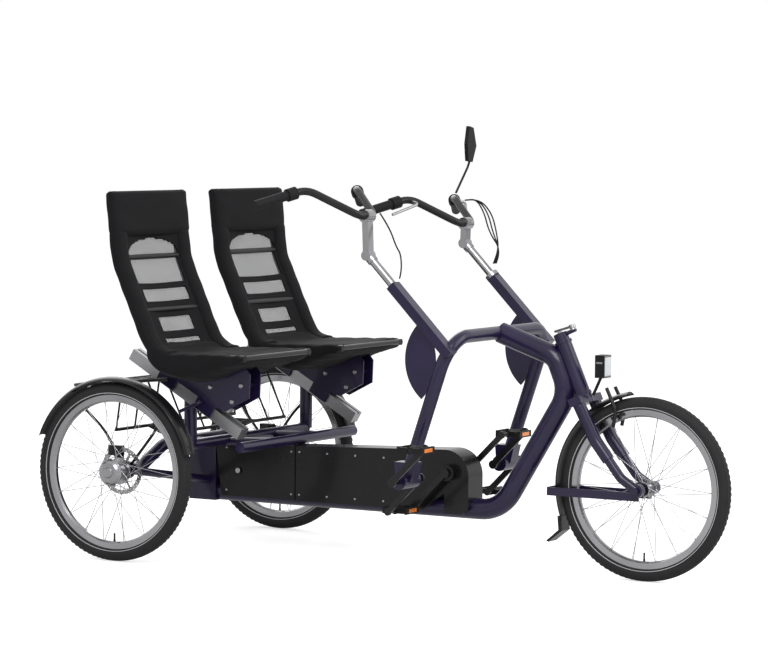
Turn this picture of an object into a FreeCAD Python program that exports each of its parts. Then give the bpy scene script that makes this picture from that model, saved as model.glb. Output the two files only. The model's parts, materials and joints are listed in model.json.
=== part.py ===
import FreeCAD, Part
import Sketcher
import math
import os
from FreeCAD import Placement, Rotation, Vector

# Side-by-side two-seat tricycle.  Millimetres, X forward, Y to the rider's left, Z up.
# The origin lies on the ground, at the middle of the overall length.

doc = FreeCAD.newDocument("two_seat_tricycle")
sheet = doc.addObject("Spreadsheet::Sheet", "sizes")
PARTS = []
ORIGIN = Vector(0, 0, 0)
X_AXIS = Vector(1, 0, 0)
Y_AXIS = Vector(0, 1, 0)
Z_AXIS = Vector(0, 0, 1)
RIGHT = -1
LEFT = 1
SIDES = {"right": RIGHT, "left": LEFT}

SIZES = {
    # wheels
    "wheelbase": 1706, "track": 1066, "wheel_radius": 300, "tyre_half": 23.5, "tyre_wall": 4,
    "rim_outer": 259, "rim_depth": 24, "rim_half": 13, "spoke_radius": 1.1, "spoke_pairs": 9,
    "rear_hub_radius": 39, "rear_hub_long": 88, "rear_hub_out": 42,
    "disc_radius": 80, "disc_wall": 2, "spoke_room": 6.8,
    "caliper_wide": 23.8, "caliper_arm": 11.7, "stay_radius": 5, "front_hub_radius": 17,
            "front_hub_flange": 27, "front_hub_long": 66,
    "stub_radius": 10, "run_gap": 0.1, "seat_gap": 0.3,
    # main frame
    "main_tube": 35, "spine_z": 196, "spine_rear": 10, "spine_bend": 1182, "down_top_x": 1425,
    "down_top_z": 600, "neck_x": 1378, "neck_z": 716, "head_radius": 25.5, "head_top_x": 1403,
    "head_top_z": 768, "head_long": 190, "head_angle": 66, "cup_radius": 29, "cup_high": 9,
    "arch_tube": 22, "arch_z": 787, "arch_lean": 71.5, "arch_bend": 110, "rider_y": 352,
    "crank_x": 1016, "crank_z": 317, "shell_radius": 27, "shell_half": 52,
    # handlebar columns
    "column_wide": 44, "column_deep": 32, "column_x": 960, "column_z": 950, "column_angle": 45.5,
    "column_long": 308, "plate_wall": 5,
    # rear frame, rails and boxes
    "beam_tube": 21, "beam_z": 372, "beam_x": 10, "post_tube": 22, "post_x": 200,
    "rear_box_half": 42, "flange_radius": 30, "flange_half": 6,
    "box_half": 51, "box_gap": 1, "battery_rear": 93, "battery_front": 413, "battery_top": 371,
    "box_bottom": 184, "case_front": 1085, "case_top": 392, "case_round": 88,
    "rail_y": 377, "rail_wide": 45, "rail_high": 40, "rail_long": 500, "rail_angle": 30,
    "rail_rear_x": -26, "rail_rear_z": 687, "rail_front_x": 395, "cross_tube": 18,
    # mudguards and rack
    "guard_gap": 18, "guard_half": 33, "guard_wall": 2, "guard_rear": 160, "guard_front": 14,
    "front_guard_low": 200, "front_guard_high": 101, "rack_rod": 6, "rack_wire": 3.5, "rack_half": 440,
    # cranks and pedals
    "crank_long": 170, "crank_angle": 45, "crank_wide": 13, "crank_thick": 9, "crank_y": 95,
            "case_crank_y": 86,
    "spindle_radius": 8, "pin_radius": 7, "pedal_long": 92, "pedal_wide": 84, "pedal_high": 22,
            "pedal_y": 60,
    # seats
    "seat_y": 317, "seat_half": 205, "seat_tube": 11, "cover_half": 189, "cover_wall": 16,
    # handlebars
    "bar_tube": 12.7, "grip_radius": 16, "grip_long": 128, "bar_reach": 160, "post_radius": 14,
    # fork
    "fork_half": 60, "leg_radius": 19, "leg_low_radius": 16,
}

for row, (alias, value) in enumerate(SIZES.items(), start=1):
    sheet.set(f"A{row}", alias)
    sheet.set(f"B{row}", str(value))
    sheet.setAlias(f"B{row}", alias)
doc.recompute()


def size(alias):
    return float(sheet.get(alias))


def bind(item, **expressions):
    """Tie properties of a document object to cells of the sheet."""
    for name, expression in expressions.items():
        item.setExpression(name, expression)
    return item


def number(expression):
    """The value of an expression over the sheet."""
    return float(sheet.evalExpression(expression))


# Places worked out from the driving sizes.
GUARD_OUTER = size("wheel_radius") + size("guard_gap") + size("guard_wall")
GUARD_REACH = GUARD_OUTER * math.cos(math.radians(180 - size("guard_rear")))
AXLE_X = (GUARD_REACH - size("wheelbase") - size("wheel_radius")) / 2
AXLE_Z = size("wheel_radius")
FRONT_X = AXLE_X + size("wheelbase")
HALF_TRACK = size("track") / 2
HUB_FACE = HALF_TRACK + size("rear_hub_out") - size("rear_hub_long")
BEAM_END = HUB_FACE - 32


def at(x, y, z):
    """A point given from the rear axle's place on the ground."""
    return Vector(AXLE_X + x, y, z)


def polar(radius, degrees):
    angle = math.radians(degrees)
    return radius * math.cos(angle), radius * math.sin(angle)


def heading(degrees):
    """The unit vector at an angle above +X in the XZ plane."""
    x, z = polar(1, degrees)
    return Vector(x, 0, z)


def turn_to(direction):
    """The rotation that takes +Z onto a direction."""
    return Rotation(Z_AXIS, direction)


def cylinder(name, start, direction, radius, length):
    """A Part cylinder; radius and length are expressions over the sheet."""
    item = doc.addObject("Part::Cylinder", name)
    bind(item, Radius=radius, Height=length)
    item.Placement = Placement(start, turn_to(direction))
    return item


def rod(name, start, end, radius):
    """A Part cylinder between two points; the radius is an expression."""
    item = doc.addObject("Part::Cylinder", name)
    item.Height = (end - start).Length
    bind(item, Radius=radius)
    item.Placement = Placement(start, turn_to(end - start))
    return item


def block(name, centre, length, width, height, rotation=Rotation()):
    """A Part box about its centre; the three sizes are expressions."""
    item = doc.addObject("Part::Box", name)
    bind(item, Length=length, Width=width, Height=height)
    doc.recompute()
    half = Vector(item.Length.Value / 2, item.Width.Value / 2, item.Height.Value / 2)
    item.Placement = Placement(centre - rotation.multVec(half), rotation)
    return item


def bent_wire(points, radii):
    """Straight runs joined by tangent arcs, one radius for each inner point."""
    edges = []
    start = points[0]
    for before, corner, after, radius in zip(points, points[1:], points[2:], radii):
        towards = (before - corner).normalize()
        onward = (after - corner).normalize()
        half = towards.getAngle(onward) / 2
        reach = radius / math.tan(half)
        bisector = (towards + onward).normalize()
        middle = corner + bisector * (radius / math.sin(half) - radius)
        enter = corner + towards * reach
        leave = corner + onward * reach
        if (enter - start).Length > 0.01:
            edges.append(Part.LineSegment(start, enter).toShape())
        edges.append(Part.Arc(enter, middle, leave).toShape())
        start = leave
    edges.append(Part.LineSegment(start, points[-1]).toShape())
    return Part.Wire(edges)


def tube(name, points, radii, radius):
    """A round bar swept along a bent wire; its radius is an expression."""
    path = doc.addObject("Part::Feature", name + "_path")
    path.Shape = bent_wire(points, radii)
    ring = doc.addObject("Part::Circle", name + "_ring")
    bind(ring, Radius=radius)
    ring.Placement = Placement(points[0], turn_to(points[1] - points[0]))
    item = doc.addObject("Part::Sweep", name)
    item.Sections = [ring]
    item.Spine = (path, [])
    item.Solid = True
    return item


def cable(name, points, radius):
    """A cable tube whose arcs are as large as its runs allow."""
    radii = []
    for before, corner, after in zip(points, points[1:], points[2:]):
        run = min((before - corner).Length, (after - corner).Length)
        turn = math.pi - (before - corner).getAngle(after - corner)
        radii.append(0.45 * run / math.tan(turn / 2))
    print(name, "bend radii", [round(value) for value in radii])
    return tube(name, points, radii, radius)


def fuse(name, items):
    item = doc.addObject("Part::MultiFuse", name)
    item.Shapes = items
    return item


def group(name, items):
    """Separate solids of one node."""
    item = doc.addObject("Part::Compound", name)
    item.Links = items
    return item


def cut(name, base, tool):
    item = doc.addObject("Part::Cut", name)
    item.Base = base
    item.Tool = tool
    return item


def shaped(name, shape):
    """A shape made with Part's own functions."""
    item = doc.addObject("Part::Feature", name)
    item.Shape = shape
    return item


def part(label, item):
    """Name a finished sub-part; the label names its file and node."""
    item.Label = label
    PARTS.append(item)
    return item


def plate(name, points, normal, thick):
    """A flat plate cut along straight edges, centred on its plane."""
    wire = Part.makePolygon(points + points[:1])
    solid = Part.Face(wire).extrude(normal * thick)
    solid.translate(normal * (-thick / 2))
    return shaped(name, solid)


def origin_plane(body, role):
    return next(item for item in body.Origin.OriginFeatures if item.Role == role)


def turned_body(name, points):
    """A PartDesign body turned about its own Y axis from an outline of (y, radius) expressions."""
    body = doc.addObject("PartDesign::Body", name)
    sketch = body.newObject("Sketcher::SketchObject", name + "_outline")
    sketch.AttachmentSupport = [(origin_plane(body, "YZ_Plane"), "")]
    sketch.MapMode = "FlatFace"
    values = [tuple(number(text) for text in point) for point in points]
    for index, (across, out) in enumerate(values):
        after = values[(index + 1) % len(values)]
        sketch.addGeometry(Part.LineSegment(Vector(across, out, 0), Vector(after[0], after[1], 0)), False)
    for index, point in enumerate(points):
        other = (index + 1) % len(points)
        sketch.addConstraint(Sketcher.Constraint("Coincident", index, 2, other, 1))
        for kind, value, text in zip(("DistanceX", "DistanceY"), values[index], point):
            datum = sketch.addConstraint(Sketcher.Constraint(kind, -1, 1, index, 1, value))
            sketch.setExpression(f"Constraints[{datum}]", text)
    turned = body.newObject("PartDesign::Revolution", name + "_turn")
    turned.Profile = sketch
    turned.ReferenceAxis = (sketch, ["H_Axis"])
    turned.Angle = 360
    body.Tip = turned
    doc.recompute()
    return body


# ---------------------------------------------------------------- wheels
def tyre(label, x, y):
    """A tyre carcass: a hollow ring of round section, open towards the rim's well."""
    outer = doc.addObject("Part::Torus", label + "_outside")
    bind(outer, Radius1="sizes.wheel_radius - sizes.tyre_half", Radius2="sizes.tyre_half")
    inner = doc.addObject("Part::Torus", label + "_inside")
    bind(inner, Radius1="sizes.wheel_radius - sizes.tyre_half", Radius2="sizes.tyre_half - sizes.tyre_wall")
    hollow = cut(label + "_hollow", outer, inner)
    seat = cylinder(label + "_seat", Vector(0, 0, -30), Z_AXIS, "sizes.rim_outer + sizes.seat_gap", "60")
    item = cut(label + "_solid", hollow, seat)
    item.Placement = Placement(Vector(x, y, AXLE_Z), turn_to(Y_AXIS))
    return part(label, item)


def rim(name):
    """The aluminium rim: a box ring with two flanges that hold the tyre."""
    outer = "sizes.rim_outer"
    well = "sizes.rim_outer - 6"
    floor = "sizes.rim_outer - sizes.rim_depth"
    half = "sizes.rim_half"
    return turned_body(name, [
        (f"-{half}", outer), (f"-{half}", f"{floor} + 5"), (f"-{half} + 7", floor), (f"{half} - 7", floor),
        (half, f"{floor} + 5"), (half, outer), (f"{half} - 2", outer), (f"{half} - 2", well),
        (f"-{half} + 2", well), (f"-{half} + 2", outer)])


def spokes(hub_y, flange_gap, flange_radius, sweep):
    """Crossed spokes from two hub flanges to the rim, in the wheel's own frame."""
    rods = []
    rim_radius = size("rim_outer") - size("rim_depth") + 3
    pairs = int(size("spoke_pairs"))
    for side in (-1, 1):
        for index in range(pairs):
            for lean in (-1, 1):
                rim_angle = 360 / pairs * (index + 0.25 * side) + lean * 90 / pairs
                hub_angle = rim_angle - lean * sweep
                x, z = polar(flange_radius - 4, hub_angle)
                start = Vector(x, hub_y + side * flange_gap / 2 + lean * 1.3, z)
                x, z = polar(rim_radius, rim_angle)
                end = Vector(x, side * 4 + lean * 1.3, z)
                rods.append(Part.makeCylinder(size("spoke_radius"), (end - start).Length, start,
                        end - start))
    return Part.makeCompound(rods)


def rear_wheel(side_name):
    """A rear wheel on a stub axle: hub, spokes, rim and brake disc in one piece, and its tyre."""
    side = SIDES[side_name]
    prefix = side_name + "_rear"
    radius = "sizes.rear_hub_radius"
    out = "sizes.rear_hub_out"
    inward = "sizes.rear_hub_out - sizes.rear_hub_long"
    flange = "sizes.rear_hub_radius + 6"
    bore = "sizes.stub_radius + sizes.run_gap"
    hub = turned_body(prefix + "_hub", [
        (f"{out} + 6", "0"), (f"{out} + 6", "15"), (f"{out} + 2", "18"), (out, "18.5"), (out,
                f"{radius} - 6"),
        (f"{out} - 6", radius), (f"{out} - 14", flange), (f"{out} - 17", flange), (f"{out} - 19",
                f"{radius} - 4"),
        ("0", "27"), (f"{inward} + 22", "27"), (f"{inward} + 20", flange), (f"{inward} + 17", flange),
        (f"{inward} + 12", "30"), (inward, "30"), (inward, bore), (f"{out} - 6", bore), (f"{out} - 6", "0")])
    gap = size("rear_hub_long") - 34
    centre = size("rear_hub_out") - 15.5 - gap / 2
    wires = shaped(prefix + "_spokes", spokes(centre, gap, size("rear_hub_radius") + 6, 62))
    disc = shaped(prefix + "_disc", brake_disc(size("rear_hub_out") - size("rear_hub_long") + 4))
    wheel = fuse(prefix + "_wheel_solid", [hub, rim(prefix + "_ring"), wires, disc])
    place = Placement(Vector(AXLE_X, side * HALF_TRACK, AXLE_Z), Rotation(Z_AXIS, 0 if side > 0 else 180))
    wheel.Placement = place
    part(prefix + "_wheel", wheel)
    tyre(prefix + "_tyre", AXLE_X, side * HALF_TRACK)


def brake_disc(y):
    """A drilled brake disc with six arms, its mid plane at the given y."""
    wall = size("disc_wall")
    outer = size("disc_radius")
    start = Vector(0, y - wall / 2, 0)
    ring = Part.makeCylinder(outer, wall, start, Y_AXIS).cut(Part.makeCylinder(outer - 15, wall, start,
            Y_AXIS))
    holes = []
    for index in range(48):
        x, z = polar(outer - (4 if index % 2 else 10.5), index * 7.5)
        holes.append(Part.makeCylinder(1.9, wall, start + Vector(x, 0, z), Y_AXIS))
    ring = ring.cut(Part.makeCompound(holes))
    arms = []
    for index in range(6):
        arm = Part.makeBox(outer - 38, wall, 7, start + Vector(26, 0, -3.5))
        arm.rotate(ORIGIN, Y_AXIS, index * 60)
        arms.append(arm)
    return ring.fuse(arms)


def front_wheel():
    """The front wheel: a narrow hub on its axle, crossed spokes and rim, and its tyre."""
    half = "sizes.front_hub_long / 2"
    flange = "sizes.front_hub_flange"
    bore = "6 + sizes.run_gap"
    hub = turned_body("front_hub", [
        (f"-{half} - 8", bore), (f"-{half} - 8", "10"), (f"-{half} + 1", "12"), (f"-{half} + 1.5", flange),
        (f"-{half} + 7.5", flange), (f"-{half} + 9", "sizes.front_hub_radius"),
        (f"{half} - 9", "sizes.front_hub_radius"), (f"{half} - 7.5", flange), (f"{half} - 1.5", flange),
        (f"{half} - 1", "12"), (f"{half} + 8", "10"),
        (f"{half} + 8", bore)])
    wires = shaped("front_spokes", spokes(0, size("front_hub_long") - 9, size("front_hub_flange"), 47))
    wheel = fuse("front_wheel_solid", [hub, rim("front_ring"), wires])
    wheel.Placement = Placement(Vector(FRONT_X, 0, AXLE_Z), Rotation())
    part("front_wheel", wheel)
    tyre("front_tyre", FRONT_X, 0)


# ---------------------------------------------------------------- main frame
HEAD_DOWN = heading(-size("head_angle"))
HEAD_TOP = at(size("head_top_x"), 0, size("head_top_z"))
HEAD_LOW = HEAD_TOP + HEAD_DOWN * size("head_long")
CRANK = at(size("crank_x"), 0, size("crank_z"))
LEAN = heading(size("arch_lean"))
ARCH_TOP = CRANK + LEAN * ((size("arch_z") - size("crank_z")) / LEAN.z)
COLUMN_DOWN = heading(-size("column_angle"))
RIDER = Y_AXIS * size("rider_y")
COLUMN_TOP = at(size("column_x"), 0, size("column_z"))
COLUMN_LOW = COLUMN_TOP + COLUMN_DOWN * size("column_long")


def main_tube():
    """The big spine tube that bends up to the head tube and back over to the arch."""
    spine = tube("spine", [
        at(size("spine_rear"), 0, size("spine_z")), at(size("spine_bend"), 0, size("spine_z")),
        at(size("down_top_x"), 0, size("down_top_z")), at(size("neck_x"), 0, size("neck_z")),
        ARCH_TOP], [130, 110, 62], "sizes.main_tube")
    head = cylinder("head", HEAD_TOP, HEAD_DOWN, "sizes.head_radius", "sizes.head_long")
    top_cup = cylinder("top_cup", HEAD_TOP, HEAD_DOWN, "sizes.cup_radius", "sizes.cup_high")
    low_cup = cylinder("low_cup", HEAD_LOW, HEAD_DOWN * -1, "sizes.cup_radius", "sizes.cup_high")
    stop = rod("steering_stop", at(1370, 0, 558), at(1418, 0, 536), "7")
    return part("main_tube", fuse("main_tube_solid", [spine, head, top_cup, low_cup, stop]))


def arch(spine):
    """One tube from a crank bearing up, across the neck's end and down to the other bearing."""
    points = [CRANK - RIDER, ARCH_TOP - RIDER, ARCH_TOP + RIDER, CRANK + RIDER]
    solids = [tube("arch_bow", points, [size("arch_bend")] * 2, "sizes.arch_tube")]
    bores = [spine]
    for name, side in SIDES.items():
        start = CRANK + RIDER * side - Y_AXIS * size("shell_half")
        long = "2 * sizes.shell_half"
        solids.append(cylinder(name + "_shell", start, Y_AXIS, "sizes.shell_radius", long))
        solids.append(plate(name + "_shell_web", [
            CRANK + RIDER * side + Vector(-30, 0, 62), CRANK + RIDER * side + Vector(-24, 0, -12),
            CRANK + RIDER * side + Vector(30, 0, 0), CRANK + RIDER * side + Vector(44, 0, 62)], Y_AXIS, 52))
        bores.append(cylinder(name + "_bore", start, Y_AXIS, "sizes.spindle_radius + sizes.run_gap", long))
    return part("arch", cut("arch_solid", fuse("arch_tubes", solids), fuse("arch_cuts", bores)))


def column(side_name, bow):
    """A rectangular handlebar column that runs down to the arch, with its leaf-shaped gusset."""
    side = RIDER * SIDES[side_name]
    name = side_name + "_column"
    turn = turn_to(COLUMN_DOWN)
    middle = side + (COLUMN_TOP + COLUMN_LOW) / 2
    box = block(name + "_tube", middle, "sizes.column_deep", "sizes.column_wide", "sizes.column_long", turn)
    top = side + at(1066, 0, 838)
    low = side + at(1070, 0, 585)
    rear = Part.Arc(top, side + at(1009, 0, 712), low).toShape()
    front = Part.Arc(low, side + at(1121, 0, 712), top).toShape()
    leaf = Part.Face(Part.Wire([rear, front])).extrude(Y_AXIS * size("plate_wall"))
    leaf.translate(Y_AXIS * (-size("plate_wall") / 2))
    both = fuse(name + "_both", [box, shaped(name + "_leaf", leaf)])
    return part(name, cut(name + "_solid", both, bow))


# ---------------------------------------------------------------- rear frame
RAIL_DOWN = heading(-size("rail_angle"))
RAIL_REAR = at(size("rail_rear_x"), 0, size("rail_rear_z"))
RAIL_SIDE = Y_AXIS * size("rail_y")
POST_Z = size("battery_top") + size("box_gap") + size("cross_tube")


def rail_centre(x):
    """The rail's centre line at a distance in front of the rear axle."""
    along = (x - size("rail_rear_x")) / RAIL_DOWN.x
    return RAIL_REAR + RAIL_DOWN * along


def rail(side_name):
    """The aluminium extrusion that a seat slides on, with a slot along its top."""
    name = side_name + "_rail"
    centre = RAIL_REAR + RAIL_DOWN * (size("rail_long") / 2) + RAIL_SIDE * SIDES[side_name]
    turn = turn_to(RAIL_DOWN)
    solid = block(name + "_bar", centre, "sizes.rail_high", "sizes.rail_wide", "sizes.rail_long", turn)
    up = turn.multVec(X_AXIS)
    slots = []
    for index, direction in enumerate((up, up * -1)):
        slot = block(f"{name}_slot_{index}", centre + direction * (size("rail_high") / 2 - 3),
                     "6.2", "9", "sizes.rail_long + 2", turn)
        slots.append(slot)
    return part(name, cut(name + "_solid", solid, fuse(name + "_slots", slots)))


def rear_frame(rails, spine):
    """The rear box, the bent axle beam with its stubs, and the tubes that carry the rails."""
    track = HALF_TRACK
    beam_end = BEAM_END
    beam = tube("axle_beam", [
        at(0, -beam_end, AXLE_Z), at(0, -beam_end + 70, AXLE_Z), at(size("beam_x"), -250, size("beam_z")),
        at(size("beam_x"), 250, size("beam_z")), at(0, beam_end - 70, AXLE_Z), at(0, beam_end, AXLE_Z)],
        [80, 100, 100, 80], "sizes.beam_tube")
    solids = [beam, block("rear_box", at(34, 0, 262), "108", "2 * sizes.rear_box_half", "198")]
    for name, side in SIDES.items():
        out = Y_AXIS * side
        stub_end = track + size("rear_hub_out") - 6 - size("seat_gap")
        centre = at(0, 0, AXLE_Z)
        solids.append(rod(name + "_shoulder", centre + out * (beam_end - 6),
                          centre + out * (HUB_FACE - size("seat_gap")), "17"))
        solids.append(rod(name + "_stub", centre + out * beam_end, centre + out * stub_end,
                "sizes.stub_radius"))
        solids.append(rod(name + "_flange", centre + out * (beam_end + 2 - size("flange_half")),
                          centre + out * (beam_end + 2 + size("flange_half")), "sizes.flange_radius"))
        solids.append(rod(name + "_brace", at(4, 0, AXLE_Z - 6) + out * (beam_end - 34), at(62, 0,
                232) + out * 30, "14"))
        foot = at(size("post_x"), 0, POST_Z) + RAIL_SIDE * side
        solids.append(rod(name + "_post", foot, rail_centre(size("post_x")) + RAIL_SIDE * side,
                "sizes.post_tube"))
        solids.append(rod(name + "_runner", at(size("beam_x"), 0, size("beam_z") + 2) + out * 150,
                          at(size("rail_front_x"), 0, POST_Z + 2) + out * 150, "14"))
    for name, place in (("post", size("post_x")), ("front", size("rail_front_x"))):
        solids.append(rod(name + "_cross", at(place, -size("rail_y"), POST_Z), at(place, size("rail_y"),
                POST_Z),
                          "sizes.cross_tube"))
    tools = fuse("rear_cuts", [item for item in rails] + [spine])
    return part("rear_frame", cut("rear_frame_solid", fuse("rear_frame_tubes", solids), tools))


def battery_box(spine_room):
    """The battery box that straddles the spine, with a lock on its right face."""
    half = size("box_half")
    rear, front = size("battery_rear"), size("battery_front")
    low, top = size("box_bottom"), size("battery_top")
    case = plate("battery_case", [at(rear, 0, top), at(front, 0, top), at(front, 0, low), at(rear + 26, 0,
            low)],
                 Y_AXIS, 2 * half)
    lock = rod("battery_lock", at(188, -half + 2, 274), at(188, -half - 7, 274), "11")
    return part("battery_box", cut("battery_solid", fuse("battery_both", [case, lock]), spine_room))


def chain_case(spine_room):
    """The long chain case with its round nose and the bosses of the middle crank bearing."""
    half = size("box_half")
    rear = size("battery_front") + 4
    front, top, low = size("case_front"), size("case_top"), size("box_bottom")
    nose = size("case_round")
    bend = nose * (1 - math.sqrt(0.5))
    edges = [
        Part.LineSegment(at(rear, 0, low), at(rear, 0, size("battery_top"))).toShape(),
        Part.LineSegment(at(rear, 0, size("battery_top")), at(front - nose, 0, top)).toShape(),
        Part.Arc(at(front - nose, 0, top), at(front - bend, 0, top - bend), at(front, 0,
                top - nose)).toShape(),
        Part.LineSegment(at(front, 0, top - nose), at(front, 0, low + 12)).toShape(),
        Part.LineSegment(at(front, 0, low + 12), at(front - 22, 0, low - 4)).toShape(),
        Part.LineSegment(at(front - 22, 0, low - 4), at(front - 90, 0, low - 4)).toShape(),
        Part.LineSegment(at(front - 90, 0, low - 4), at(front - 92, 0, low + 60)).toShape(),
        Part.LineSegment(at(front - 92, 0, low + 60), at(front - 180, 0, low)).toShape(),
        Part.LineSegment(at(front - 180, 0, low), at(rear, 0, low)).toShape()]
    side = Part.Face(Part.Wire(edges)).extrude(Y_AXIS * 2 * half)
    side.translate(Y_AXIS * -half)
    boss_half = size("case_crank_y") - size("crank_thick") / 2 - 1
    boss = cylinder("case_boss", CRANK - Y_AXIS * boss_half, Y_AXIS, "27", str(2 * boss_half))
    bore = cylinder("case_bore", CRANK - Y_AXIS * boss_half, Y_AXIS, "sizes.spindle_radius + sizes.run_gap",
                    str(2 * boss_half))
    solid = fuse("case_both", [shaped("case_side", side), boss])
    return part("chain_case", cut("case_solid", solid, fuse("case_cuts", [bore, spine_room])))


def guard_section(name, radius, x):
    """A mudguard's bowed cross-section at its top, as a face to be turned about the axle."""
    half, wall, drop = size("guard_half"), size("guard_wall"), 13
    y = Y_AXIS
    up = Z_AXIS
    crown = Vector(x, 0, AXLE_Z)
    outer = Part.Arc(crown - y * half + up * (radius - drop), crown + up * radius,
                     crown + y * half + up * (radius - drop)).toShape()
    inner = Part.Arc(crown + y * (half - wall) + up * (radius - drop - 0.6), crown + up * (radius - wall),
                     crown - y * (half - wall) + up * (radius - drop - 0.6)).toShape()
    ends = [outer.Vertexes[1].Point, inner.Vertexes[0].Point, inner.Vertexes[1].Point,
            outer.Vertexes[0].Point]
    edges = [outer, Part.LineSegment(ends[0], ends[1]).toShape(), inner, Part.LineSegment(ends[2],
            ends[3]).toShape()]
    return shaped(name, Part.Face(Part.Wire(edges)))


def guard(name, x, y, first, last):
    """A mudguard turned about a wheel's axle between two angles above +X."""
    section = guard_section(name + "_section", GUARD_OUTER, x)
    section.Shape = section.Shape.rotated(Vector(x, 0, AXLE_Z), Y_AXIS, 90 - number(first))
    sweep = doc.addObject("Part::Revolution", name)
    sweep.Source = section
    sweep.Axis = Y_AXIS * -1
    sweep.Base = Vector(x, 0, AXLE_Z)
    bind(sweep, Angle=f"({last}) - ({first})")
    sweep.Solid = True
    sweep.Placement = Placement(Vector(0, y, 0), Rotation())
    return sweep


def rear_guard(side_name):
    """A rear mudguard with the two stays that hold it on the axle beam."""
    side = SIDES[side_name]
    name = side_name + "_rear_guard"
    y = side * HALF_TRACK
    shell = guard(name + "_shell", AXLE_X, y, "sizes.guard_front", "sizes.guard_rear")
    inner = HALF_TRACK - size("guard_half") + 1
    foot = BEAM_END + 2
    stays = []
    for index, angle in enumerate((52, 128)):
        x, z = polar(GUARD_OUTER - 14, angle)
        foot_x, foot_z = polar(size("flange_radius") + 1, angle)
        knee = at(x * 0.55, side * (foot - 8), AXLE_Z + z * 0.55)
        stays.append(tube(f"{name}_stay_{index}", [
            at(foot_x, side * foot, AXLE_Z + foot_z), knee, at(x, side * inner, AXLE_Z + z)],
            [120], "sizes.stay_radius"))
    return part(name, fuse(name + "_solid", [shell] + stays))


def rear_rack():
    """The luggage rack over the axle: a bent top rail, a lower rail and slanted rods between."""
    half = size("rack_half")
    top = tube("rack_top", [at(150, -half, 612), at(-250, -half, 572), at(-250, half, 572), at(150, half,
            612)],
               [50, 50], "sizes.rack_rod")
    solids = [top]
    for x in (-150, -50, 50):
        z = 597 + 0.1 * x
        solids.append(rod(f"rack_bar_{x + 150}", at(x, -half, z), at(x, half, z), "sizes.rack_wire"))
    for x in (-100, 110):
        solids.append(rod(f"rack_low_{x + 100}", at(x, -half + 60, 424), at(x, half - 60, 424),
                "sizes.rack_rod"))
        for side in (-1, 1):
            for y in (150, 265, half - 62):
                solids.append(rod(f"rack_web_{x + 100}_{side + 1}_{y:.0f}", at(x, side * y, 424),
                                  at(x * 0.5 - 0.5 * 50, side * y, 592), "sizes.rack_wire"))
    for side in (-1, 1):
        solids.append(plate(f"rack_foot_{side + 1}", [
            at(-104, side * 200, 428), at(114, side * 200, 428), at(30, side * 200, size("beam_z") + 18),
            at(-10, side * 200, size("beam_z") + 18)], Y_AXIS, 5))
    return fuse("rack_solid", solids)


def calipers():
    """The two disc brake calipers, each on its bracket from the axle beam."""
    pair = []
    for name, side in SIDES.items():
        disc = HUB_FACE + 4
        outer_face = disc + size("spoke_room")
        arm_face = BEAM_END + 2 + size("flange_half") + size("seat_gap")
        x, z = polar(size("disc_radius") - 8, 112)
        body = block(name + "_caliper_body", at(x, side * (outer_face - size("caliper_wide") / 2),
                AXLE_Z + z),
                     "52", "sizes.caliper_wide", "34")
        slot = block(name + "_caliper_slot", at(x, side * disc, AXLE_Z + z - 5), "60", "5", "40")
        arm = block(name + "_caliper_arm", at(x + 4, side * (arm_face + size("caliper_arm") / 2),
                AXLE_Z + z - 22),
                    "26", "sizes.caliper_arm", "66")
        pair.append(cut(name + "_caliper", fuse(name + "_caliper_both", [body, arm]), slot))
    return pair


# ---------------------------------------------------------------- seats
SEAT_LINE = [(-22, 1238), (2, 1005), (148, 690), (505, 700)]


def offset_line(points, distance):
    """The seat line moved towards the sitter by a distance, mitred at its corners."""
    normals = []
    for (x, z), (next_x, next_z) in zip(points, points[1:]):
        run = math.hypot(next_x - x, next_z - z)
        normals.append((-(next_z - z) / run, (next_x - x) / run))
    moved = []
    for index, (x, z) in enumerate(points):
        near = normals[max(index - 1, 0)]
        far = normals[min(index, len(normals) - 1)]
        scale = distance / (1 + near[0] * far[0] + near[1] * far[1])
        moved.append((x + (near[0] + far[0]) * scale, z + (near[1] + far[1]) * scale))
    return moved


def seat_frame(side_name):
    """The bent tube frame of a seat with its cross tubes."""
    centre = Y_AXIS * size("seat_y") * SIDES[side_name]
    half = Y_AXIS * size("seat_half")
    name = side_name + "_seat_frame"
    solids = []
    for index, across in enumerate((half * -1, half)):
        points = [centre + across + at(x, 0, z) for x, z in SEAT_LINE]
        solids.append(tube(f"{name}_side_{index}", points, [200, 110], "sizes.seat_tube"))
    for index, (x, z) in enumerate(((-21, 1226), (3, 1016), (79, 840), (180, 682), (400, 688), (496, 700))):
        middle = centre + at(x, 0, z)
        solids.append(rod(f"{name}_cross_{index}", middle - half, middle + half, "sizes.seat_tube - 2"))
    return part(name, fuse(name + "_solid", solids))


def seat_cover(side_name):
    """The sling cover between the side tubes, ahead of the cross tubes."""
    centre = Y_AXIS * size("seat_y") * SIDES[side_name]
    near = size("seat_tube") + 4
    front = offset_line(SEAT_LINE, near + size("cover_wall"))
    rear = offset_line(SEAT_LINE, near)
    points = [centre + at(x, 0, z) for x, z in front + rear[::-1]]
    name = side_name + "_seat_cover"
    return part(name, plate(name + "_solid", points, Y_AXIS, 2 * size("cover_half")))


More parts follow.
